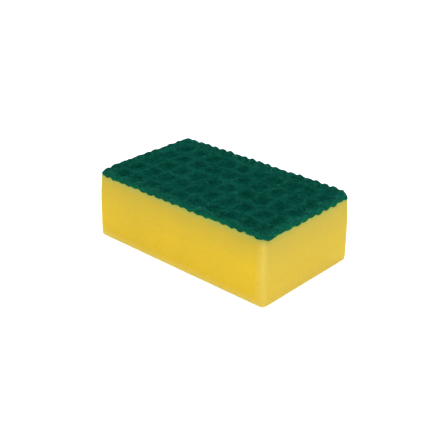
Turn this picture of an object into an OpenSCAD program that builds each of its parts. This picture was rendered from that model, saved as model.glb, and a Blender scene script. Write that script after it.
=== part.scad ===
// Cleaning sponge: a block of yellow foam with a green scouring pad bonded to its top.
// The pad is a mat of coarse fibres, pressed hot into a waffle of square pockets.
// The origin is the middle of the flat underside, and the long side runs along X.

/* [Sponge] */
// Length of the sponge
sponge_l = 110; // [80:1:150]
// Width of the sponge
sponge_w = 65.5; // [50:0.5:100]
// Radius of the four upright corners, cut through foam and pad together
corner_r = 2.5; // [1:0.5:8]

/* [Foam block] */
// Height of the foam, from the underside to the pad
foam_h = 34.3; // [15:0.1:50]

/* [Scouring pad] */
// Thickness of the pad at its ridges
mat_t = 1.7; // [1.6:0.05:5]
// Height of the lobes, the tufts that stand up from the ridges
lobe_h = 0.45; // [0.2:0.05:0.8]
// Diameter of a lobe at its foot
lobe_d = 5; // [3.5:0.1:5]
// Distance from the middle of the outer lobes to the side of the pad
lobe_in = 0.5; // [0.3:0.1:1.5]

/* [Pockets] */
// Length of a pocket
pocket_l = 7.8; // [6:0.1:8.6]
// Width of a pocket
pocket_w = 9; // [6:0.1:9.2]
// Radius of the corners of a pocket, seen from above
pocket_r = 2.5; // [1:0.1:2.8]
// Depth of a pocket below the ridges, at its middle
pocket_h = 0.9; // [0.6:0.05:1.1]
// Depth of a pocket at its corners
pocket_foot = 0.2; // [0.1:0.05:0.4]
// Least width of ridge between a pocket and the side of the pad
rim = 0.5; // [0.4:0.1:2]

/* [Waffle pattern] */
// Spacing of the pockets along the length
cell_x = 10.4; // [10.4:0.05:14]
// Spacing of the pockets across the width
cell_y = 11.55; // [10.6:0.05:14]
// Place along the length of the pocket nearest the middle
first_x = -1.65; // [-5:0.05:5]
// Place across the width of the pocket nearest the middle
first_y = -4.35; // [-5.5:0.05:5.5]

/* [Hidden] */

// Smoothness of the upright corners and of the relief
corner_fn = 48;
relief_fn = 64;

// Distance by which one shape runs into the next or past it, so that they join cleanly
bite = 0.1;

pad_t = mat_t + lobe_h;
lobe_ball_r = cap_radius(lobe_d, lobe_h);

// The dish of a pocket is the end of a ball that reaches the corners of the pocket
pocket_reach = norm([pocket_l / 2 - pocket_r, pocket_w / 2 - pocket_r]) + pocket_r;
dish_r = cap_radius(2 * pocket_reach, pocket_h - pocket_foot);

// Middle lines of the lobes along the sides
row_x = sponge_l / 2 - lobe_in;
row_y = sponge_w / 2 - lobe_in;

// Counts of cells to each side of the first pocket, enough to run off every side
cells_x = ceil(sponge_l / 2 / cell_x) + 1;
cells_y = ceil(sponge_w / 2 / cell_y) + 1;

foam_colour = [0.90, 0.76, 0.17];
pad_colour = [0.03, 0.29, 0.23];

// Radius of the ball whose cap is d wide and h high
function cap_radius(d, h) = (d * d / 4 + h * h) / (2 * h);

// Whether a pocket with its middle at x, y leaves the rim on every side
function pocket_fits(x, y) =
    abs(x) + pocket_l / 2 + rim < sponge_l / 2 && abs(y) + pocket_w / 2 + rim < sponge_w / 2;

// Whether a lobe at x, y stands clear of the lobes along the sides
function lobe_clear(x, y) = abs(x) < row_x - lobe_d && abs(y) < row_y - lobe_d;

// A rectangle with four round corners
module round_rectangle(l, w, r) {
    straight_l = l - 2 * r;
    straight_w = w - 2 * r;
    square([l, straight_w], center = true);
    square([straight_l, w], center = true);
    for (sx = [-1, 1])
        for (sy = [-1, 1])
            translate([sx * straight_l / 2, sy * straight_w / 2])
                circle(r = r, $fn = corner_fn);
}

// One lobe: the cap of a ball, standing on the mat at z = 0 and let into it by the bite
module lobe() {
    intersection() {
        translate([0, 0, lobe_h - lobe_ball_r])
            sphere(r = lobe_ball_r, $fn = relief_fn);
        translate([0, 0, lobe_h / 2 - bite / 2])
            cube([lobe_d + 4, lobe_d + 4, lobe_h + 3 * bite], center = true);
    }
}

// One pocket: a square tool with a round end, pressed into the mat at z = 0
module pocket() {
    intersection() {
        translate([0, 0, dish_r - pocket_h])
            sphere(r = dish_r, $fn = relief_fn);
        translate([0, 0, -pocket_h - bite])
            linear_extrude(pocket_h + lobe_h + 2 * bite)
                round_rectangle(pocket_l, pocket_w, pocket_r);
    }
}

// Every pocket that fits whole inside the rim
module pockets() {
    for (i = [-cells_x : cells_x])
        for (j = [-cells_y : cells_y]) {
            x = first_x + i * cell_x;
            y = first_y + j * cell_y;
            if (pocket_fits(x, y))
                translate([x, y, 0])
                    pocket();
        }
}

// A lobe wherever two ridges cross
module crossing_lobes() {
    for (i = [-cells_x : cells_x])
        for (j = [-cells_y : cells_y]) {
            x = first_x + (i + 0.5) * cell_x;
            y = first_y + (j + 0.5) * cell_y;
            if (lobe_clear(x, y))
                translate([x, y, 0])
                    lobe();
        }
}

// Rows of lobes along the four sides, two to a cell
module side_lobes() {
    for (side = [-1, 1]) {
        for (i = [-2 * cells_x : 2 * cells_x]) {
            x = first_x + i * cell_x / 2;
            if (abs(x) < row_x)
                translate([x, side * row_y, 0])
                    lobe();
        }
        for (j = [-2 * cells_y : 2 * cells_y]) {
            y = first_y + j * cell_y / 2;
            if (abs(y) < row_y - lobe_d)
                translate([side * row_x, y, 0])
                    lobe();
        }
    }
}

// The block, cut from a slab of fine foam
module foam_block() {
    color(foam_colour)
        linear_extrude(foam_h)
            round_rectangle(sponge_l, sponge_w, corner_r);
}

// The pad: the mat with its lobes and pockets, cut to the same plan as the block
module scouring_pad() {
    color(pad_colour)
        translate([0, 0, foam_h])
            intersection() {
                linear_extrude(pad_t + bite)
                    round_rectangle(sponge_l, sponge_w, corner_r);
                difference() {
                    union() {
                        translate([0, 0, mat_t / 2])
                            cube([sponge_l + 2, sponge_w + 2, mat_t], center = true);
                        translate([0, 0, mat_t]) {
                            crossing_lobes();
                            side_lobes();
                        }
                    }
                    translate([0, 0, mat_t])
                        pockets();
                }
            }
}

foam_block();
scouring_pad();
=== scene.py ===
import math

import bpy
import numpy as np
from mathutils import Matrix, Vector, kdtree, noise


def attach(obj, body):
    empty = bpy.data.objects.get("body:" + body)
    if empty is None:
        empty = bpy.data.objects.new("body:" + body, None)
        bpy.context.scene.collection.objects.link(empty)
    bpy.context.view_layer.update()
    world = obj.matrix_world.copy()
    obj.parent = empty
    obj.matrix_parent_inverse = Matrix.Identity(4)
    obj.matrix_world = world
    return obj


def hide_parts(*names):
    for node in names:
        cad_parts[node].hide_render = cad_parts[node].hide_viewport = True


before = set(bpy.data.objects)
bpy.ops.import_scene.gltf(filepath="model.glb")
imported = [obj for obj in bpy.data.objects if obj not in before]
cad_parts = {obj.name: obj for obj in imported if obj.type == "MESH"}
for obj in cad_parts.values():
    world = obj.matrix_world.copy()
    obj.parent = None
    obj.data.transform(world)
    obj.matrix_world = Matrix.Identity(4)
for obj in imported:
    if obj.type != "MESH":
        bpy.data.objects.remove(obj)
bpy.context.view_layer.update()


# Camera. It stands where the outline of the sponge in the photograph puts it: 41 degrees
# round from the long side and 26 degrees up, a little under half a metre away.
PHOTO_PX = 447
LENS_PX = 853.8
SENSOR_MM = 36
NEAREST_SEEN = 0.01
CAMERA_TURN = math.radians(41.299)
CAMERA_RISE = math.radians(26.053)
CAMERA_ROLL = math.radians(0.990)
CAMERA_AWAY = 0.43885
CAMERA_ASIDE = 0.00146
CAMERA_LIFT = 0.01149

back = Vector((
    math.sin(CAMERA_TURN) * math.cos(CAMERA_RISE),
    -math.cos(CAMERA_TURN) * math.cos(CAMERA_RISE),
    math.sin(CAMERA_RISE),
))
level = Vector((math.cos(CAMERA_TURN), math.sin(CAMERA_TURN), 0))
upright = back.cross(level)
right = math.cos(CAMERA_ROLL) * level + math.sin(CAMERA_ROLL) * upright
up = math.cos(CAMERA_ROLL) * upright - math.sin(CAMERA_ROLL) * level
eye = back * CAMERA_AWAY + right * CAMERA_ASIDE + up * CAMERA_LIFT

camera_data = bpy.data.cameras.new("camera")
camera_data.sensor_width = SENSOR_MM
camera_data.lens = LENS_PX / PHOTO_PX * SENSOR_MM
camera_data.clip_start = NEAREST_SEEN
camera = bpy.data.objects.new("camera", camera_data)
camera.matrix_world = Matrix.Translation(eye) @ Matrix((right, up, back)).transposed().to_4x4()
bpy.context.collection.objects.link(camera)
bpy.context.scene.camera = camera


# Foam block. Fine open-cell foam, foamed as one big bun, dyed through, and sawn to a block.
# The saw leaves flat faces of cut cells, and edges that give a little.
SPONGE_L = 0.110
SPONGE_W = 0.0655
FOAM_H = 0.0343
HALF_PLAN = np.array((SPONGE_L, SPONGE_W)) / 2
FOAM_CELLS = (220, 132, 68)
FOAM_EDGE_R = 0.0008
# a pair of corner radii is for front left and back right, and for the other two
CORNER_R = (0.0017, 0.0020)
# points that lie nearer the outline than this move with the upright faces
SKIN_DEPTH = 0.0005
# the foam is drawn in below the bond, by this much, over this height, along this curve
PINCH = 0.00045
PINCH_REACH = 0.028
PINCH_CURVE = 1.3
# and again at its corners, over a distance along the sides and a height
CORNER_PINCH = 0.00080
CORNER_PINCH_REACH = (0.008, 0.012)
CORNER_PINCH_CURVE = 1.5
CORNER_LIFT = 0.0003
CORNER_LIFT_REACH = 0.008
# the pad's waffle, which the seam follows: spacing of its pockets and place of the middle one
CELL = np.array((0.0104, 0.01155))
FIRST_POCKET = np.array((-0.00165, -0.00435))
# the seam waves twice to a pocket, and by this share of that once to a pocket
SEAM_WAVE = 0.00038
SEAM_SINGLE = 0.3
SEAM_STRAY = 0.00055
# a grain is lumps to the metre, the slice of the noise, and how much finer its next layer is
SEAM_GRAIN = (260, 3.1, 2.2)
# the seam is uneven in full over a fifth of its reach from the sides, then less, to the least
SEAM_FULL = 1.2
SEAM_LEAST = 0.1
SEAM_REACH = 0.005
CORNER_DROOP = 0.0009
CORNER_DROOP_REACH = 0.009
# a loose tuft of the pad hangs down by the front right corner
SEAM_TUFT = 0.0007
TUFT_AT = (0.0555, -0.0302)
TUFT_REACH = 0.0018
# cut cells: how many, how wide at least and how much wider at most, how deep for their radius
PIT_COUNT = 9000
PIT_R = 0.00045
PIT_R_MORE = 0.00055
PIT_DEPTH = 0.28
PITS_FADE_IN = 0.001
# the saw sways slowly and quickly: how often to the metre and how far
SAW_SWAY = ((60, 0.00010), (900, 0.00003))
# painted light: how strong it is, how far from the edge it begins to fade, and over what distance
CORNER_HIGHLIGHT = 0.8
CORNER_HIGHLIGHT_START = 0.0010
CORNER_HIGHLIGHT_REACH = 0.0048
EDGE_LIGHT_START = 0.0005
EDGE_LIGHT_RISE = 0.0038
EDGE_LIGHT_REACH = 0.0030
# the short ends: from where a face begins to look lengthwise to where it does so in full, and
# how deep in. They get most painted light low down and most painted shade high up
END_FACING = (0.5, 0.9)
END_DEPTH = 0.0012
END_LIGHT = 0.62
END_LIGHT_LESS = 0.26
END_LIGHT_RISE = 0.011
END_SHADE = 0.22
END_SHADE_START = 0.006
END_SHADE_RISE = 0.020
END_SHADE_ACROSS = 0.12
# painted light and shade: the low colour is the foam lit from the floor, the high one shaded under
# the pad, the paler one painted light, the duller one painted shade, the greener one the bond's stain
# with painted shade under the pad's edge, and the darkest painted shade in the open cells
FOAM_LOW_LIT = (0.86, 0.587, 0.0340, 1)
FOAM_HIGH_SHADED = (0.63, 0.475, 0.056, 1)
FOAM_LIT_PALE = (0.85, 0.65, 0.125, 1)
FOAM_SHADED_END = (0.48, 0.42, 0.085, 1)
FOAM_STAINED_SHADED = (0.42, 0.50, 0.115, 1)
FOAM_PORE_SHADE = (0.58, 0.40, 0.024, 1)
# what shifts the foam's colour: its height, which is painted light low down and painted shade high
# up, its place along the sponge, and how the bun rose
LIGHT_TO_SHADE_RISE = (0.010, 0.031)
TINT_BY_LENGTH = (-4.0, 0.08)
TINT_BY_BUN = 0.7
STAIN_AND_SHADE_BELOW_BOND = (0.0036, 0.0004)


def block_skin(cells, fine_end):
    """The skin of a block as places from 0 to 1 along each side, and its faces. One end,
    0 or 1 in height, is a fine grid. The other, which is bonded, has cells four times as wide."""
    n_x, n_y, n_z = cells
    wide = 4
    fine_k = n_z if fine_end else 0
    bond_k = 0 if fine_end else n_z
    on_skin = np.zeros((n_x + 1, n_y + 1, n_z + 1), bool)
    on_skin[[0, -1], :, :] = True
    on_skin[:, [0, -1], :] = True
    on_skin[:, :, fine_k] = True
    on_skin[::wide, ::wide, bond_k] = True
    number = np.full(on_skin.shape, -1)
    number[on_skin] = np.arange(on_skin.sum())
    places = np.argwhere(on_skin) / np.array(cells, float)

    def grid(sheet, turned):
        """The faces between the numbered points of a sheet, turned over if asked."""
        corners = (sheet[:-1, :-1], sheet[1:, :-1], sheet[1:, 1:], sheet[:-1, 1:])
        quads = np.stack(corners, -1).reshape(-1, 4)
        return (quads[:, ::-1] if turned else quads).tolist()

    faces = grid(number[:, 0, :], False) + grid(number[:, -1, :], True)
    faces += grid(number[0, :, :], True) + grid(number[-1, :, :], False)
    faces += grid(number[:, :, fine_k], not fine_end)
    # a wide cell at the rim also takes in the fine points of the upright face that it meets
    steps = range(1, wide)
    for i in range(0, n_x, wide):
        for j in range(0, n_y, wide):
            end_i, end_j = i + wide, j + wide
            loop = [(i, j)] + [(i + s, j) for s in steps if j == 0]
            loop += [(end_i, j)] + [(end_i, j + s) for s in steps if end_i == n_x]
            loop += [(end_i, end_j)] + [(end_i - s, end_j) for s in steps if end_j == n_y]
            loop += [(i, end_j)] + [(i, end_j - s) for s in steps if i == 0]
            face = [int(number[a, b, bond_k]) for a, b in loop]
            faces.append(face[::-1] if fine_end else face)
    return places, faces


def by_corner(plan, first, second):
    """The first value towards the corners at front left and back right, and the second
    towards the other two."""
    return np.where(plan[:, 0] * plan[:, 1] > 0, first, second)


def from_corner(plan):
    """How far each point lies from the nearest corner of the sponge's rectangle."""
    return np.hypot(*(HALF_PLAN - np.abs(plan)).T)


def fading(distance, reach, start=0.0):
    """1 up to the start, and from there less and less, down to 0 a reach further on."""
    return np.clip(1 - (distance - start) / reach, 0, 1)


def round_corners(plan, corner_r):
    """Moves points of the sponge's rectangle so that its four corners become round."""
    inner = HALF_PLAN - by_corner(plan, *corner_r)[:, None]
    core = np.clip(plan, -inner, inner)
    off = plan - core
    long_way = np.hypot(off[:, 0], off[:, 1])
    share = np.divide(np.abs(off).max(axis=1), long_way, out=np.ones(len(plan)), where=long_way > 0)
    return core + off * share[:, None]


def inside_by(plan, corner_r):
    """How far each point lies inside the sponge's outline, and the way straight out."""
    own_r = by_corner(plan, *corner_r)
    over = np.abs(plan) - HALF_PLAN + own_r[:, None]
    reach = np.maximum(over, 0)
    out_len = np.hypot(reach[:, 0], reach[:, 1])
    depth = own_r - np.where(out_len > 0, out_len, over.max(axis=1))
    nearer_x = over[:, 0] > over[:, 1]
    way = np.where(
        (out_len > 0)[:, None],
        reach / np.maximum(out_len, 1e-12)[:, None],
        np.stack((nearer_x, ~nearer_x), -1).astype(float),
    )
    return depth, way * np.where(plan < 0, -1, 1)


def soften_edge(points, corner_r, edge_z, inward, radius):
    """Rounds the edge where the upright faces meet the end at edge_z, one height or a height
    for each point. inward is 1 where the block lies above that end, and -1 where below."""
    depth, way = inside_by(points[:, :2], corner_r)
    height = (points[:, 2] - edge_z) * inward
    near = (depth < radius) & (height < radius)
    a = radius - np.maximum(depth, 0)
    b = radius - np.maximum(height, 0)
    share = np.maximum(a, b) / np.maximum(np.hypot(a, b), 1e-12)
    moved = points.copy()
    moved[:, :2] -= way * (radius - a * share - depth)[:, None]
    moved[:, 2] = edge_z + (radius - b * share) * inward
    return np.where(near[:, None], moved, points)


def lumps(plan, per_metre, level, finer):
    """Soft unevenness over the plan, from about -1 to 1."""
    places = ((x * per_metre, y * per_metre, level) for x, y in plan)
    return np.array([noise.fractal(place, 0.8, finer, 3) for place in places])


def waffle_turn(plan):
    """Where each point stands in its cell of the waffle, as an angle along each side. It is
    a whole number of turns in the middle of a pocket."""
    return 2 * math.pi * (plan - FIRST_POCKET) / CELL


def corner_droop(plan):
    """How far the pad and the foam under it droop at the pad's two rounder corners."""
    return by_corner(plan, CORNER_DROOP * fading(from_corner(plan), CORNER_DROOP_REACH) ** 2, 0)


def seam_height(plan):
    """Height of the bond between foam and pad. At the sides it waves with the pockets pressed
    above it."""
    turn = waffle_turn(plan)
    wave = -SEAM_SINGLE * np.cos(turn) - np.cos(2 * turn)
    tuft = SEAM_TUFT * np.exp(-((plan - TUFT_AT) ** 2).sum(axis=1) / TUFT_REACH**2)
    by_side = np.clip(SEAM_FULL - inside_by(plan, CORNER_R)[0] / SEAM_REACH, SEAM_LEAST, 1)
    uneven = SEAM_WAVE * wave.sum(axis=1) + SEAM_STRAY * lumps(plan, *SEAM_GRAIN)
    return FOAM_H + by_side * uneven - corner_droop(plan) - tuft


def mesh_object(name, points, faces, **attributes):
    """An object at the origin, shaded smooth, whose points carry the named attributes."""
    mesh = bpy.data.meshes.new(name)
    mesh.from_pydata(points.tolist(), [], faces)
    mesh.shade_smooth()
    mesh.update()
    for label, values in attributes.items():
        mesh.attributes.new(label, "FLOAT", "POINT").data.foreach_set("value", values)
    piece = bpy.data.objects.new(name, mesh)
    bpy.context.collection.objects.link(piece)
    return piece


def add_node(tree, kind, settings=None, **sockets):
    """A node with its settings, and with each named socket given a value or a link. A socket
    goes by its name, with _ for each space, or by i and its number."""
    node = tree.nodes.new(kind)
    for name, value in (settings or {}).items():
        setattr(node, name, value)
    for name, value in sockets.items():
        numbered = name[0] == "i" and name[1:].isdigit()
        socket = node.inputs[int(name[1:]) if numbered else name.replace("_", " ")]
        if isinstance(value, bpy.types.NodeSocket):
            tree.links.new(value, socket)
        else:
            socket.default_value = value
    return node


def maths(tree, operation, *values, use_clamp=False):
    """The result of a Math node on one, two or three values or links."""
    settings = {"operation": operation, "use_clamp": use_clamp}
    sockets = {f"i{number}": value for number, value in enumerate(values)}
    return add_node(tree, "ShaderNodeMath", settings, **sockets).outputs[0]


def map_range(tree, value, old, new=(0.0, 1.0)):
    """A link mapped from the old pair of limits to the new one, and held within it."""
    return add_node(tree, "ShaderNodeMapRange", Value=value, From_Min=old[0], From_Max=old[1],
                    To_Min=new[0], To_Max=new[1]).outputs[0]


def mix_colours(tree, share, first, second, blend_type="MIX"):
    """A Mix Colour node, from the first colour to the second by the share: its result."""
    settings = {"data_type": "RGBA", "blend_type": blend_type}
    node = add_node(tree, "ShaderNodeMix", settings, i0=share, i6=first, i7=second)
    return node.outputs["Result"]


def attribute(tree, label):
    """An attribute of the piece, read in its material."""
    return add_node(tree, "ShaderNodeAttribute", {"attribute_name": label}).outputs["Fac"]


def new_material(name):
    """A new material: its tree and its shader."""
    material = bpy.data.materials.new(name)
    material.use_nodes = True
    tree = material.node_tree
    tree.nodes.clear()
    shader = tree.nodes.new("ShaderNodeBsdfPrincipled")
    output = tree.nodes.new("ShaderNodeOutputMaterial")
    tree.links.new(shader.outputs["BSDF"], output.inputs["Surface"])
    return material, tree, shader


foam_places, foam_faces = block_skin(FOAM_CELLS, fine_end=0)
foam_points = np.empty_like(foam_places)
foam_points[:, :2] = round_corners((foam_places[:, :2] - 0.5) * (SPONGE_L, SPONGE_W), CORNER_R)
foam_top = seam_height(foam_points[:, :2])
foam_points[:, 2] = foam_places[:, 2] * foam_top
foam_points = soften_edge(foam_points, CORNER_R, edge_z=0, inward=1, radius=FOAM_EDGE_R)

# the hot bond draws the foam in a little below the pad, and the cut corners curl up
foam_depth, foam_out = inside_by(foam_points[:, :2], CORNER_R)
in_skin = fading(foam_depth, SKIN_DEPTH)
below_bond = foam_top - foam_points[:, 2]
corner_gap = from_corner(foam_points[:, :2])
drawn = fading(below_bond, PINCH_REACH) ** PINCH_CURVE * in_skin
drawn_corner = fading(corner_gap, CORNER_PINCH_REACH[0])
drawn_corner *= fading(below_bond, CORNER_PINCH_REACH[1]) ** CORNER_PINCH_CURVE * in_skin
foam_points[:, :2] -= foam_out * (PINCH * drawn + CORNER_PINCH * drawn_corner)[:, None]
curl = CORNER_LIFT * fading(corner_gap, CORNER_LIFT_REACH) ** 2
foam_points[:, 2] += curl * (1 - foam_points[:, 2] / foam_top)

# cut cells: shallow pits of mixed sizes, scattered over the sawn faces
foam_rng = np.random.default_rng(11)
pit_at = foam_rng.choice(len(foam_points), PIT_COUNT, replace=False)
pit_radius = PIT_R + PIT_R_MORE * foam_rng.random(PIT_COUNT) ** 3
pit_tree = kdtree.KDTree(PIT_COUNT)
for number, point in enumerate(foam_points[pit_at]):
    pit_tree.insert(point, number)
pit_tree.balance()
foam_sink = np.zeros(len(foam_points))
for number, point in enumerate(foam_points):
    _, pit, gap = pit_tree.find(point)
    share = gap / pit_radius[pit]
    sway = sum(noise.noise(point * often) * far for often, far in SAW_SWAY)
    foam_sink[number] = sway + (PIT_DEPTH * pit_radius[pit] * (1 - share * share) if share < 1 else 0)
# the underside stays in the plane that the sponge rests on
foam_depth, foam_out = inside_by(foam_points[:, :2], CORNER_R)
side_share = fading(foam_depth, SKIN_DEPTH) * np.clip(foam_points[:, 2] / PITS_FADE_IN, 0, 1)
side_share *= foam_places[:, 2] < 1
foam_points[:, :2] -= foam_out * (foam_sink * side_share)[:, None]
under = (foam_places[:, 2] == 0) & (foam_depth > FOAM_EDGE_R)
foam_points[:, 2] += np.where(under, np.maximum(foam_sink, 0), 0)

# painted light: a highlight down two upright corners and paler lower edges; on the ends, painted
# light low down, and painted shade high up and towards the back right and front left corners
foam_rise = foam_points[:, 2]
corner_gap = from_corner(foam_points[:, :2])
corner_worn = CORNER_HIGHLIGHT * fading(corner_gap, CORNER_HIGHLIGHT_REACH, CORNER_HIGHLIGHT_START)
low_edge = fading(foam_rise, EDGE_LIGHT_RISE, EDGE_LIGHT_START)
low_edge *= fading(foam_depth, EDGE_LIGHT_REACH, FOAM_EDGE_R)
facing = (np.abs(foam_out[:, 0]) - END_FACING[0]) / (END_FACING[1] - END_FACING[0])
short_end = np.clip(facing, 0, 1) * (foam_depth < END_DEPTH)
end_worn = short_end * (END_LIGHT - END_LIGHT_LESS * np.clip(foam_rise / END_LIGHT_RISE, 0, 1))
foam_worn = np.max((by_corner(foam_points, 0, corner_worn), low_edge, end_worn), axis=0)
across = foam_points[:, 1] * np.sign(foam_points[:, 0]) / SPONGE_W + 0.5
foam_dulled = END_SHADE * np.clip((foam_rise - END_SHADE_START) / END_SHADE_RISE, 0, 1)
foam_dulled += END_SHADE_ACROSS * np.clip(across, 0, 1)
foam_dulled *= short_end

foam = mesh_object("foam_block_soft", foam_points, foam_faces, worn=foam_worn, dulled=foam_dulled)

# painted light and shade: the yellow is painted fullest low down, for the floor's light, and duller
# high up, for the shade under the pad; it is fuller to the right, and the bond stains its top few
# millimetres, with painted shade under the pad's edge
foam_material, tree, shader = new_material("foam_yellow")
place = tree.nodes.new("ShaderNodeTexCoord").outputs["Object"]
axes = add_node(tree, "ShaderNodeSeparateXYZ", Vector=place).outputs
rise = maths(tree, "POWER", map_range(tree, axes["Z"], LIGHT_TO_SHADE_RISE), 2.0)
leftward = maths(tree, "MULTIPLY_ADD", axes["X"], *TINT_BY_LENGTH)
rise = maths(tree, "MULTIPLY_ADD", leftward, maths(tree, "SUBTRACT", 1.0, rise), rise)
bun = add_node(tree, "ShaderNodeTexNoise", Vector=place, Scale=45, Detail=3, Roughness=0.6)
bun = maths(tree, "SUBTRACT", bun.outputs["Fac"], 0.5)
light_shade_and_tone = maths(tree, "MULTIPLY_ADD", bun, TINT_BY_BUN, rise, use_clamp=True)
# the open cells are painted darker, painted shade in them, and the same marks dent the bump
cells = add_node(tree, "ShaderNodeTexVoronoi", Vector=place, Scale=1900, Randomness=1)
big_cells = add_node(tree, "ShaderNodeTexVoronoi", Vector=place, Scale=850, Randomness=1)
pore = map_range(tree, cells.outputs["Distance"], (0.15, 0.75), (0.26, 0.0))
big_pore = map_range(tree, big_cells.outputs["Distance"], (0.05, 0.35), (0.30, 0.0))
dark = maths(tree, "MAXIMUM", pore, big_pore)
# the bond's green stain, with painted shade under the pad's edge
stain_and_shade = map_range(tree, axes["Z"], [FOAM_H - below for below in STAIN_AND_SHADE_BELOW_BOND])
body = mix_colours(tree, light_shade_and_tone, FOAM_LOW_LIT, FOAM_HIGH_SHADED)
# painted light on the corners, lower edges and ends, then painted shade on the ends
body = mix_colours(tree, attribute(tree, "worn"), body, FOAM_LIT_PALE)
body = mix_colours(tree, attribute(tree, "dulled"), body, FOAM_SHADED_END)
body = mix_colours(tree, stain_and_shade, body, FOAM_STAINED_SHADED)
body = mix_colours(tree, dark, body, FOAM_PORE_SHADE)
dent = maths(tree, "MULTIPLY", dark, -1.0)
bump = add_node(tree, "ShaderNodeBump", Height=dent, Strength=0.5, Distance=0.0002)
tree.links.new(body, shader.inputs["Base Color"])
tree.links.new(bump.outputs["Normal"], shader.inputs["Normal"])
shader.inputs["Roughness"].default_value = 0.9
shader.inputs["Specular IOR Level"].default_value = 0.15
shader.inputs["Subsurface Weight"].default_value = 0.35
shader.inputs["Subsurface Radius"].default_value = (1.0, 0.7, 0.15)
shader.inputs["Subsurface Scale"].default_value = 0.0025
foam.data.materials.append(foam_material)

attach(foam, "root")
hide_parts("foam_block")


# Scouring pad, the mat. Coarse synthetic fibre laid at random, sprayed with a green binder
# that holds the abrasive, pressed hot into a waffle, and bonded to the foam before sawing.
MAT_T = 0.00170
PAD_CELLS = (260, 156, 8)
PAD_CORNER_R = (0.0054, 0.0014)
PAD_EDGE_R = 0.0010
PAD_TUFTS = 0.00036
PAD_GRAIN = (420, 7.7, 2.1)
SIDE_TUFTS = 0.00045
SIDE_TUFTS_PER_METRE = 500
# points of the sides lie this near the outline
ON_OUTLINE = 1e-6
# how much thinner the mat is at its rounder corners, the left one and the right one
CORNER_THINNED = (0.0010, 0.0004)
CORNER_THINNED_REACH = 0.014
# its least thickness, and how much more that is along its sides
LEAST_T = 0.0005
LEAST_T_MORE = 0.0002
LOBE_H = 0.00012
LOBE_D = 0.005
LOBE_IN = 0.0005
# the lobes along the sides: height and stray for the long sides and the short ones
SIDE_CREST = (0.0014, 0.0009)
CREST_STRAY = (0.35, 1.0)
# each is a round hump, drawn out inwards, cut off below and let down into the mat
CREST_DRAWN_OUT = 0.6
CREST_CUT_OFF = -0.4
CREST_LET_DOWN = 0.42
CREST_REACH = 0.7
MOST_CRESTS = 32
# they are lower by the corners and by the left end: from what share up, over what distance
CREST_BY_CORNER = (0.2, 0.0085)
CREST_BY_LEFT = (0.55, 0.045)
POCKET_SIZE = (0.0078, 0.0090)
POCKET_R = 0.0015
POCKET_H = 0.00090
POCKET_FOOT = 0.0004
POCKET_WALL = 0.0012
POCKET_STRAY = 0.0004
POCKET_H_STRAY = 0.09
MOST_POCKETS = 8
RIM = 0.0005
# what is painted darker: the ridges' crossings, the pockets, for their shade and their denser fibre,
# and the back left of each pocket, as painted shade where its walls are in shade
CROSSING_DARKER = 0.35
POCKET_SHADE_SIZE = (0.0068, 0.0098)
POCKET_SHADE_AT = (-0.0003, -0.0002)
POCKET_SHADE_SHARE = 0.72
BACK_LEFT_SHADE_SIZE = (0.0058, 0.0044)
BACK_LEFT_SHADE_AT = (-0.0009, 0.0019)
BACK_LEFT_SHADE_SHARE = 0.58
POCKET_SHADE_WALL = 0.0028
# painted light along the sides: how strong, how far in it begins to fade, and over what distance
SIDE_LIGHT = {"front": 0.92, "right": 0.95, "back": 0.35, "left": 0.25}
SIDE_LIGHT_START = 0.0040
SIDE_LIGHT_REACH = 0.0032
# darkness of a ridge away from the painted light, and of a pocket under it
RIDGE_DARK = 0.55
LIT_POCKET_DARK = 0.65
# colours: the lightest is painted light along the sides, the pocket one painted shade, and the cut
# one painted light on the sawn sides
MAT_LIT = (0.0088, 0.1173, 0.0809, 1)
MAT_POCKET_SHADED = (0.0011, 0.0465, 0.0327, 1)
MAT_SIDE_LIT = (0.0038, 0.1036, 0.0460, 1)


def cap_radius(width, height):
    """Radius of the ball whose cap has this width and height."""
    return (width * width / 4 + height * height) / (2 * height)


def lobe_height(plan):
    """The lobes: a tuft wherever two ridges cross, and two to a cell along the four sides."""
    row = HALF_PLAN - LOBE_IN
    crossing = (np.round((plan - FIRST_POCKET) / CELL - 0.5) + 0.5) * CELL + FIRST_POCKET
    from_lobe = np.hypot(*(plan - crossing).T)
    from_lobe[(np.abs(crossing) >= row - LOBE_D).any(axis=1)] = np.inf
    ball = cap_radius(LOBE_D, LOBE_H)
    height = np.maximum(LOBE_H - ball + np.sqrt(np.maximum(ball**2 - from_lobe**2, 0)), 0)
    low, over = CREST_BY_CORNER
    fade = low + (1 - low) * np.clip(from_corner(plan) / over, 0, 1)
    low, over = CREST_BY_LEFT
    fade *= low + (1 - low) * np.clip((plan[:, 0] + SPONGE_L / 2) / over, 0, 1)
    number = np.round((plan - FIRST_POCKET) / (CELL / 2))
    crest_at = number * CELL / 2 + FIRST_POCKET
    off_side = row - np.abs(plan)
    crest_rng = np.random.default_rng(9)
    for along in (0, 1):
        draws = crest_rng.uniform(-1, 1, 2 * MOST_CRESTS)
        stray = CREST_STRAY[along] * draws[number[:, along].astype(int) + MOST_CRESTS]
        own = SIDE_CREST[along] * (fade * (1 + stray))
        off_row = off_side[:, 1 - along] * CREST_DRAWN_OUT
        from_crest = np.hypot(plan[:, along] - crest_at[:, along], off_row)
        hump = np.maximum(1 - (from_crest / (LOBE_D / 2)) ** 2, CREST_CUT_OFF) - CREST_LET_DOWN
        on_crest = from_crest < CREST_REACH * LOBE_D
        height = np.where(on_crest, np.maximum(height, 0) + own * hump, height)
    return height


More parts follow.
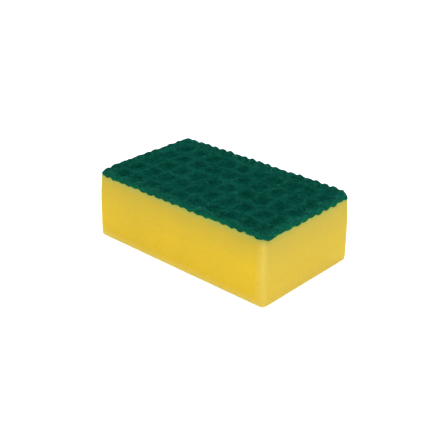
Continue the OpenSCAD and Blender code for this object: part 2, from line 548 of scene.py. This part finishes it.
def pocket_share(plan, size, wall_width):
    """How far each point has been pressed in, from 0 on a ridge to 1 at the middle of a
    pocket. The pockets are a little off their places, and not all as deep."""
    number = np.round((plan - FIRST_POCKET) / CELL)
    middle = number * CELL + FIRST_POCKET
    fits = (np.abs(middle) < HALF_PLAN - np.array(POCKET_SIZE) / 2 - RIM).all(axis=1)
    # four draws for each pocket: two for its place, one for its depth and one to spare
    draws = np.random.default_rng(5).uniform(-1, 1, (2 * MOST_POCKETS, 2 * MOST_POCKETS, 4))
    own = draws[tuple(number.astype(int).T + MOST_POCKETS)]
    away = plan - middle - own[:, :2] * POCKET_STRAY
    round_from = np.array(size) / 2 - POCKET_R
    over = np.abs(away) - round_from
    outside = np.hypot(*np.maximum(over, 0).T) + np.minimum(over.max(axis=1), 0) - POCKET_R
    dish_r = cap_radius(2 * (np.hypot(*round_from) + POCKET_R), POCKET_H - POCKET_FOOT)
    dish = POCKET_H - dish_r + np.sqrt(np.maximum(dish_r**2 - (away**2).sum(axis=1), 0))
    wall = np.clip(0.5 - outside / wall_width, 0, 1)
    wall = wall * wall * (3 - 2 * wall)
    deeper = 1 + POCKET_H_STRAY * own[:, 2]
    return np.where(fits, wall * np.maximum(dish, 0) / POCKET_H * deeper, 0)


def scaled(tree, vector, amount):
    """A vector or colour times a number, either of them a value or a link."""
    return add_node(tree, "ShaderNodeVectorMath", {"operation": "SCALE"},
                    i0=vector, Scale=amount).outputs[0]


pad_places, pad_faces = block_skin(PAD_CELLS, fine_end=1)
pad_plan = round_corners((pad_places[:, :2] - 0.5) * (SPONGE_L, SPONGE_W), PAD_CORNER_R)
pad_seam = seam_height(pad_plan)
pad_pressed = pocket_share(pad_plan, POCKET_SIZE, POCKET_WALL)
pad_top = FOAM_H + MAT_T + lobe_height(pad_plan) * (1 - pad_pressed)
pad_top += PAD_TUFTS * lumps(pad_plan, *PAD_GRAIN) - POCKET_H * pad_pressed - corner_droop(pad_plan)
# sawing through the bond leaves the mat thin at its two rounder corners
thinned = fading(from_corner(pad_plan), CORNER_THINNED_REACH)
thinned *= np.where(pad_plan[:, 0] < 0, *CORNER_THINNED)
pad_top -= by_corner(pad_plan, thinned, 0)
pad_depth, pad_out = inside_by(pad_plan, PAD_CORNER_R)
least_t = LEAST_T + LEAST_T_MORE * np.clip(2 - pad_depth / PAD_EDGE_R, 0, 1)
pad_top = np.maximum(pad_top, pad_seam + least_t)
pad_rise = pad_seam + (pad_top - pad_seam) * pad_places[:, 2]
pad_points = np.column_stack((pad_plan, pad_rise))
# the saw leaves the sides ragged, and handling rounds their upper edge
on_side = (pad_depth < ON_OUTLINE) & (pad_places[:, 2] > 0)
ragged = np.array([noise.noise(p * SIDE_TUFTS_PER_METRE) for p in pad_points]) * SIDE_TUFTS
pad_points = soften_edge(pad_points, PAD_CORNER_R, edge_z=pad_top, inward=-1, radius=PAD_EDGE_R)
pad_points[:, :2] += pad_out * np.where(on_side, ragged, 0)[:, None]

# painted shade: each pocket is painted darker, for its shade and its denser fibre, and darkest
# towards the back left of its middle, where its walls are in shade. The ridges are painted darker
# where they cross.
pad_plan = pad_points[:, :2]
pocket_shade = POCKET_SHADE_SHARE * pocket_share(pad_plan - POCKET_SHADE_AT, POCKET_SHADE_SIZE, POCKET_SHADE_WALL)
pocket_shade += BACK_LEFT_SHADE_SHARE * pocket_share(pad_plan - BACK_LEFT_SHADE_AT, BACK_LEFT_SHADE_SIZE, POCKET_SHADE_WALL)
crossing_darker = CROSSING_DARKER * ((1 - np.cos(waffle_turn(pad_plan))) / 2).prod(axis=1)
pocket_shade = np.minimum(np.maximum(pocket_shade, crossing_darker), 1)
# painted light: the top is painted lighter along the sides, most at the front and on the right
from_side = {
    "front": SPONGE_W / 2 + pad_plan[:, 1], "back": SPONGE_W / 2 - pad_plan[:, 1],
    "left": SPONGE_L / 2 + pad_plan[:, 0], "right": SPONGE_L / 2 - pad_plan[:, 0],
}
pad_worn = np.max([
    SIDE_LIGHT[side] * fading(gap, SIDE_LIGHT_REACH, SIDE_LIGHT_START)
    for side, gap in from_side.items()
], axis=0)
# away from the painted light, dark runs from RIDGE_DARK to 1, and under it, from 0 to the lit
# pocket's darkness
pad_light_and_shade = (RIDGE_DARK + (1 - RIDGE_DARK) * pocket_shade) * (1 - pad_worn)
pad_light_and_shade += LIT_POCKET_DARK * pocket_shade * pad_worn
# the sawn sides are painted lighter, for the light on them, less so towards the top
pad_cut = np.where(pad_depth < ON_OUTLINE, 1 - pad_places[:, 2] ** 4, 0)

pad = mesh_object("scouring_pad_mat", pad_points, pad_faces, pressed=pad_light_and_shade, cut=pad_cut)

# painted light and shade: the pockets are painted darker, the top lighter along the front and right,
# and the cut sides paler, for the light that falls on them
mat_material, tree, shader = new_material("pad_green_mat")
place = tree.nodes.new("ShaderNodeTexCoord").outputs["Object"]
matted = add_node(tree, "ShaderNodeTexNoise", Vector=place, Scale=1500, Detail=6, Roughness=0.75)
fleck = map_range(tree, matted.outputs["Fac"], (0.35, 0.65), (0.45, 1.25))
green = mix_colours(tree, attribute(tree, "pressed"), MAT_LIT, MAT_POCKET_SHADED)
green = mix_colours(tree, attribute(tree, "cut"), green, MAT_SIDE_LIT)
bump = add_node(tree, "ShaderNodeBump", Height=matted.outputs["Fac"], Strength=0.8, Distance=0.0003)
tree.links.new(scaled(tree, green, fleck), shader.inputs["Base Color"])
tree.links.new(bump.outputs["Normal"], shader.inputs["Normal"])
shader.inputs["Roughness"].default_value = 1.0
shader.inputs["Specular IOR Level"].default_value = 0.0
pad.data.materials.append(mat_material)

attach(pad, "root")
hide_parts("scouring_pad")


# Scouring pad, the fibres on its face. Curly lengths of binder-coated fibre that lie over
# the waffle and turn down over the sawn edges, in three layers from deep to loose.
FIBRE_POINTS = 9
# each fibre reads the noise this far from the next, so that no two curl alike
FIBRE_LANE = 0.731
# its lift reads the same noise elsewhere, at this many times the scale
SWAY_AWAY = (17, 5, 31)
SWAY_FINER = 1.7
# a ray looks for the mat down from this height, or up from the floor, and is twice as long
LOOK_FROM = 0.1
# and it starts no less than this far inside the outline
LOOK_INSIDE = 0.0004
# the fibres are painted lighter over a band as wide as this, with the outline in its middle
SIDE_LIT_BAND = 0.0010
FIBRE_SIZES = {
    "Length": SPONGE_L, "Width": SPONGE_W, "Overhang": 0.0034,
    "Round radius": PAD_CORNER_R[0], "Sharp radius": PAD_CORNER_R[1],
    "Fibres": 3700, "Shortest": 0.005, "Longest": 0.009, "Swirls per metre": 330.0,
    "Edge turn": 0.0006, "Hang": 0.0008,
    "Teeth per metre": 640.0, "Short tooth": -0.0018, "Long tooth": -0.0004,
}
FIBRE_LAYERS = {
    "pad_fibres_deep": {
        "Curl": 0.0050, "Lowest": -0.00008, "Highest": 0.00012, "Radius": 0.00009, "Seed": 3},
    "pad_fibres_middle": {
        "Curl": 0.0060, "Lowest": -0.00002, "Highest": 0.00020, "Radius": 0.00011, "Seed": 14},
    "pad_fibres_loose": {
        "Curl": 0.0070, "Lowest": 0.00000, "Highest": 0.00028, "Radius": 0.00015, "Seed": 25},
}
# the pale and dark colours are the fibres' own; the side colour is painted light on the sawn sides,
# and the pocket colour multiplies in the mat's painted light and shade
FIBRE_PALE = (0.0236, 0.2003, 0.1358, 1)
FIBRE_DARK = (0.0040, 0.1230, 0.0848, 1)
FIBRE_SIDE_LIT = (0.0083, 0.2166, 0.0935, 1)
FIBRE_SHADE_IN_POCKET = (0.21, 0.526, 0.526, 1)


def vectors(tree, operation, *values):
    """The outputs of a Vector Math node on one or two values or links."""
    sockets = {f"i{number}": value for number, value in enumerate(values)}
    return add_node(tree, "ShaderNodeVectorMath", {"operation": operation}, **sockets).outputs


def combine(tree, x, y, z):
    """A vector from its three parts."""
    return add_node(tree, "ShaderNodeCombineXYZ", X=x, Y=y, Z=z).outputs[0]


def split_up(tree, vector):
    """The three parts of a vector, named X, Y and Z."""
    return add_node(tree, "ShaderNodeSeparateXYZ", Vector=vector).outputs


def drawn_between(tree, least, most, **sockets):
    """A random number between two limits."""
    return add_node(tree, "FunctionNodeRandomValue", {"data_type": "FLOAT"},
                    i2=least, i3=most, **sockets).outputs[1]


def fibre_tree(name):
    """The tree that lays fibres on a mat. Its inputs are the mat, the sizes of a layer, its
    seed and its material."""
    tree = bpy.data.node_groups.new(name, "GeometryNodeTree")
    face = tree.interface
    face.new_socket("Mat", in_out="INPUT", socket_type="NodeSocketGeometry")
    for label in (*FIBRE_SIZES, "Curl", "Lowest", "Highest", "Radius"):
        face.new_socket(label, in_out="INPUT", socket_type="NodeSocketFloat")
    face.new_socket("Seed", in_out="INPUT", socket_type="NodeSocketInt")
    face.new_socket("Material", in_out="INPUT", socket_type="NodeSocketMaterial")
    face.new_socket("Fibres", in_out="OUTPUT", socket_type="NodeSocketGeometry")
    given = tree.nodes.new("NodeGroupInput").outputs
    result = tree.nodes.new("NodeGroupOutput").inputs

    # lengths of straight fibre, scattered over the plan and over what turns down at its edges
    spread_l = maths(tree, "MULTIPLY_ADD", given["Overhang"], 2.0, given["Length"])
    spread_w = maths(tree, "MULTIPLY_ADD", given["Overhang"], 2.0, given["Width"])
    sheet = add_node(tree, "GeometryNodeMeshGrid", Size_X=spread_l, Size_Y=spread_w)
    density = maths(tree, "DIVIDE", given["Fibres"], maths(tree, "MULTIPLY", spread_l, spread_w))
    scatter = add_node(tree, "GeometryNodeDistributePointsOnFaces",
                       Mesh=sheet.outputs["Mesh"], Density=density, Seed=given["Seed"])
    line = add_node(tree, "GeometryNodeCurvePrimitiveLine", Start=(-0.5, 0, 0), End=(0.5, 0, 0))
    line = add_node(tree, "GeometryNodeResampleCurve",
                    Curve=line.outputs["Curve"], Count=FIBRE_POINTS)
    turn = drawn_between(tree, 0.0, 2 * math.pi, Seed=given["Seed"])
    size_seed = maths(tree, "ADD", given["Seed"], 7)
    size = drawn_between(tree, given["Shortest"], given["Longest"], Seed=size_seed)
    laid = add_node(tree, "GeometryNodeInstanceOnPoints",
                    Points=scatter.outputs["Points"], Instance=line.outputs["Curve"],
                    Rotation=combine(tree, 0.0, 0.0, turn), Scale=combine(tree, size, size, size))
    laid = add_node(tree, "GeometryNodeRealizeInstances", Geometry=laid.outputs[0])

    # each fibre has its own number, which sets its curl and lift, and its shade and hang
    index = tree.nodes.new("GeometryNodeInputIndex").outputs[0]
    own = add_node(tree, "GeometryNodeFieldOnDomain", {"domain": "CURVE", "data_type": "INT"},
                   Value=index).outputs[0]
    own_shade = drawn_between(tree, 0.0, 1.0, ID=own, Seed=given["Seed"])
    position = tree.nodes.new("GeometryNodeInputPosition").outputs[0]
    lane = combine(tree, 0.0, 0.0, maths(tree, "MULTIPLY", own, FIBRE_LANE))
    swirl_at = vectors(tree, "ADD", scaled(tree, position, given["Swirls per metre"]), lane)[0]
    swirl = add_node(tree, "ShaderNodeTexNoise", Vector=swirl_at, Scale=1.0, Detail=1.0)
    swing = vectors(tree, "SUBTRACT", swirl.outputs["Color"], (0.5, 0.5, 0.5))[0]
    bent = vectors(tree, "MULTIPLY", scaled(tree, swing, given["Curl"]), (1, 1, 0))[0]
    curled = add_node(tree, "GeometryNodeSetPosition", Geometry=laid.outputs[0], Offset=bent)

    # the outline: how far a point lies past it, and the way straight out
    at = split_up(tree, position)
    is_round = maths(tree, "GREATER_THAN", maths(tree, "MULTIPLY", at["X"], at["Y"]), 0.0)
    rounder = maths(tree, "SUBTRACT", given["Round radius"], given["Sharp radius"])
    corner_r = maths(tree, "MULTIPLY_ADD", is_round, rounder, given["Sharp radius"])

    def held(value, size):
        """A point's place along one side, held within the straight stretch of that side."""
        half = maths(tree, "MULTIPLY_ADD", size, 0.5, maths(tree, "MULTIPLY", corner_r, -1.0))
        return add_node(tree, "ShaderNodeClamp", Value=value,
                        Min=maths(tree, "MULTIPLY", half, -1.0), Max=half).outputs[0]

    core = combine(tree, held(at["X"], given["Length"]), held(at["Y"], given["Width"]), 0.0)
    off = vectors(tree, "SUBTRACT", combine(tree, at["X"], at["Y"], 0.0), core)[0]
    off_len = vectors(tree, "LENGTH", off)["Value"]
    way = vectors(tree, "NORMALIZE", off)[0]
    off_outline = maths(tree, "SUBTRACT", off_len, corner_r)
    past = maths(tree, "MAXIMUM", off_outline, 0.0)

    # the mat's height there, found by looking straight down on it, and the seam's, from below
    kept = maths(tree, "MINIMUM", off_len, maths(tree, "SUBTRACT", corner_r, LOOK_INSIDE))
    inside = vectors(tree, "ADD", core, scaled(tree, way, kept))[0]
    above = vectors(tree, "ADD", inside, (0, 0, LOOK_FROM))[0]
    below = vectors(tree, "MULTIPLY", above, (1, 1, 0))[0]
    # the ray also reads the mat's painted light and shade
    how_pressed = add_node(tree, "GeometryNodeInputNamedAttribute", {"data_type": "FLOAT"},
                           Name="pressed").outputs[0]
    down, rise = (
        add_node(tree, "GeometryNodeRaycast", {"data_type": "FLOAT"},
                 Target_Geometry=given["Mat"], Attribute=how_pressed, Source_Position=start,
                 Ray_Direction=(0, 0, ray_z), Ray_Length=2 * LOOK_FROM).outputs
        for start, ray_z in ((above, -1), (below, 1))
    )
    on_mat = split_up(tree, down["Hit Position"])["Z"]
    on_seam = split_up(tree, rise["Hit Position"])["Z"]

    # how proud of the mat each point stands, which changes along the fibre
    sway_at = vectors(tree, "ADD", swirl_at, SWAY_AWAY)[0]
    sway = add_node(tree, "ShaderNodeTexNoise", Vector=sway_at, Scale=SWAY_FINER, Detail=0.0)
    lift = map_range(tree, sway.outputs["Fac"], (0.25, 0.75), (given["Lowest"], given["Highest"]))

    # past the outline it turns down over the sawn side, as far as the uneven teeth of the seam
    tooth = add_node(tree, "ShaderNodeTexNoise",
                     Vector=core, Scale=given["Teeth per metre"], Detail=1.0)
    tooth = map_range(tree, tooth.outputs["Fac"], (0.38, 0.62),
                      (given["Short tooth"], given["Long tooth"]))
    to_tooth = maths(tree, "ADD", maths(tree, "SUBTRACT", on_mat, on_seam), tooth)
    hang = maths(tree, "MULTIPLY_ADD", own_shade, given["Hang"], to_tooth)
    hang = maths(tree, "MAXIMUM", hang, 0.0)
    turned_down = maths(tree, "MINIMUM", maths(tree, "PINGPONG", past, given["Overhang"]), hang)
    over_edge = maths(tree, "MINIMUM", maths(tree, "DIVIDE", past, given["Edge turn"]), 1.0)
    out_by = maths(tree, "MULTIPLY", lift, over_edge)
    up_by = maths(tree, "MULTIPLY", lift, maths(tree, "SUBTRACT", 1.0, over_edge))
    edge = maths(tree, "MINIMUM", off_len, corner_r)
    flat = vectors(tree, "ADD", core, scaled(tree, way, maths(tree, "ADD", edge, out_by)))[0]
    height = maths(tree, "ADD", maths(tree, "SUBTRACT", on_mat, turned_down), up_by)
    draped_at = vectors(tree, "ADD", flat, combine(tree, 0.0, 0.0, height))[0]

    # what the material reads is noted while each point still lies where it was strewn
    # painted light on the sawn sides, and the mat's painted light and shade, are noted for the
    # material
    on_cut = maths(tree, "DIVIDE", maths(tree, "ADD", off_outline, SIDE_LIT_BAND / 2), SIDE_LIT_BAND)
    on_cut = add_node(tree, "ShaderNodeClamp", Value=on_cut).outputs[0]
    notes = {"pressed": down["Attribute"], "cut": on_cut, "fibre_shade": own_shade}
    strewn = curled
    for label, value in notes.items():
        strewn = add_node(tree, "GeometryNodeStoreNamedAttribute",
                          {"data_type": "FLOAT", "domain": "POINT"},
                          Geometry=strewn.outputs[0], Name=label, Value=value)
    draped = add_node(tree, "GeometryNodeSetPosition",
                      Geometry=strewn.outputs[0], Position=draped_at)

    section = add_node(tree, "GeometryNodeCurvePrimitiveCircle",
                       Resolution=3, Radius=given["Radius"])
    tubes = add_node(tree, "GeometryNodeCurveToMesh", Curve=draped.outputs[0],
                     Profile_Curve=section.outputs["Curve"], Fill_Caps=True)
    whole = add_node(tree, "GeometryNodeRealizeInstances", Geometry=tubes.outputs[0])
    dressed = add_node(tree, "GeometryNodeSetMaterial",
                       Geometry=whole.outputs[0], Material=given["Material"])
    tree.links.new(dressed.outputs[0], result[0])
    return tree


# some fibres took up more binder than others, in patches too; those on the sawn sides are painted
# lighter, in patches, and the mat's painted light and shade is multiplied in
fibre_material, tree, shader = new_material("pad_green_fibre")
place = tree.nodes.new("ShaderNodeTexCoord").outputs["Object"]
patch = add_node(tree, "ShaderNodeTexNoise", Vector=place, Scale=420, Detail=2)
patch = map_range(tree, patch.outputs["Fac"], (0.3, 0.7), (-0.2, 0.2))
own_shade = attribute(tree, "fibre_shade")
shade = maths(tree, "MULTIPLY", own_shade, own_shade)
shade = maths(tree, "ADD", shade, patch, use_clamp=True)
lit_side_patches = add_node(tree, "ShaderNodeTexNoise", Vector=place, Scale=330, Detail=1)
lit_side_patches = map_range(tree, lit_side_patches.outputs["Fac"], (0.42, 0.60), (0.20, 1.0))
lit_side_patches = maths(tree, "MULTIPLY", attribute(tree, "cut"), lit_side_patches)
green = mix_colours(tree, shade, FIBRE_DARK, FIBRE_PALE)
green = mix_colours(tree, lit_side_patches, green, FIBRE_SIDE_LIT)
green = mix_colours(tree, attribute(tree, "pressed"), green, FIBRE_SHADE_IN_POCKET, "MULTIPLY")
tree.links.new(green, shader.inputs["Base Color"])
shader.inputs["Roughness"].default_value = 0.9
shader.inputs["Specular IOR Level"].default_value = 0.0

fibres_on_pad = fibre_tree("fibres_on_pad")
for layer_name, layer in FIBRE_LAYERS.items():
    holder = bpy.data.objects.new(layer_name + "_holder", pad.data)
    bpy.context.collection.objects.link(holder)
    modifier = holder.modifiers.new("fibres", "NODES")
    modifier.node_group = fibres_on_pad
    inputs = {**FIBRE_SIZES, **layer, "Material": fibre_material}
    for item in fibres_on_pad.interface.items_tree:
        if item.in_out == "INPUT" and item.name in inputs:
            modifier[item.identifier] = inputs[item.name]
    graph = bpy.context.evaluated_depsgraph_get()
    fibre_mesh = bpy.data.meshes.new_from_object(holder.evaluated_get(graph))
    fibre_mesh.name = layer_name
    bpy.data.objects.remove(holder)
    fibre_mesh.shade_smooth()
    fibres = bpy.data.objects.new(layer_name, fibre_mesh)
    bpy.context.collection.objects.link(fibres)
    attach(fibres, "root")


# Floor, backdrop and light. A plain white floor that runs out of sight, even white light from
# all round, one wide soft lamp from behind on the left, and a wider one low in front.
FLOOR_HALF = 4
FLOOR_WHITE = (0.93, 0.93, 0.93, 1)
FLOOR_GLOW = 0.55
WORLD_LIGHT = 0.915
LIGHT_WHITE = (1, 1, 1, 1)
LAMPS = {
    "lamp_behind": dict(size=0.32, watts=2.0, place=(-0.31, 0.39, 0.44)),
    "lamp_in_front": dict(size=0.35, watts=0.24, place=(0.30, -0.36, 0.07)),
}

floor_corners = np.array([(-1, -1, 0), (1, -1, 0), (1, 1, 0), (-1, 1, 0)]) * FLOOR_HALF
floor = mesh_object("floor", floor_corners, [(0, 1, 2, 3)])
floor_material, tree, shader = new_material("floor_white")
shader.inputs["Base Color"].default_value = FLOOR_WHITE
shader.inputs["Roughness"].default_value = 1.0
shader.inputs["Specular IOR Level"].default_value = 0.0
seen = tree.nodes.new("ShaderNodeLightPath").outputs["Is Camera Ray"]
glow = maths(tree, "MULTIPLY", seen, FLOOR_GLOW)
shader.inputs["Emission Color"].default_value = LIGHT_WHITE
tree.links.new(glow, shader.inputs["Emission Strength"])
floor.data.materials.append(floor_material)

world = bpy.data.worlds.new("studio")
world.use_nodes = True
bpy.context.scene.world = world
tree = world.node_tree
sky = tree.nodes["Background"]
seen = tree.nodes.new("ShaderNodeLightPath").outputs["Is Camera Ray"]
strength = add_node(tree, "ShaderNodeMix", {"data_type": "FLOAT"}, i0=seen, i2=WORLD_LIGHT, i3=1.0)
tree.links.new(strength.outputs[0], sky.inputs["Strength"])
sky.inputs["Color"].default_value = LIGHT_WHITE

for lamp_name, lamp_size in LAMPS.items():
    lamp_data = bpy.data.lights.new(lamp_name, "AREA")
    lamp_data.shape = "DISK"
    lamp_data.size = lamp_size["size"]
    lamp_data.energy = lamp_size["watts"]
    lamp = bpy.data.objects.new(lamp_name, lamp_data)
    lamp.location = lamp_size["place"]
    lamp.rotation_euler = (-Vector(lamp_size["place"])).to_track_quat("-Z", "Y").to_euler()
    bpy.context.collection.objects.link(lamp)

bpy.context.scene.view_settings.view_transform = "Standard"
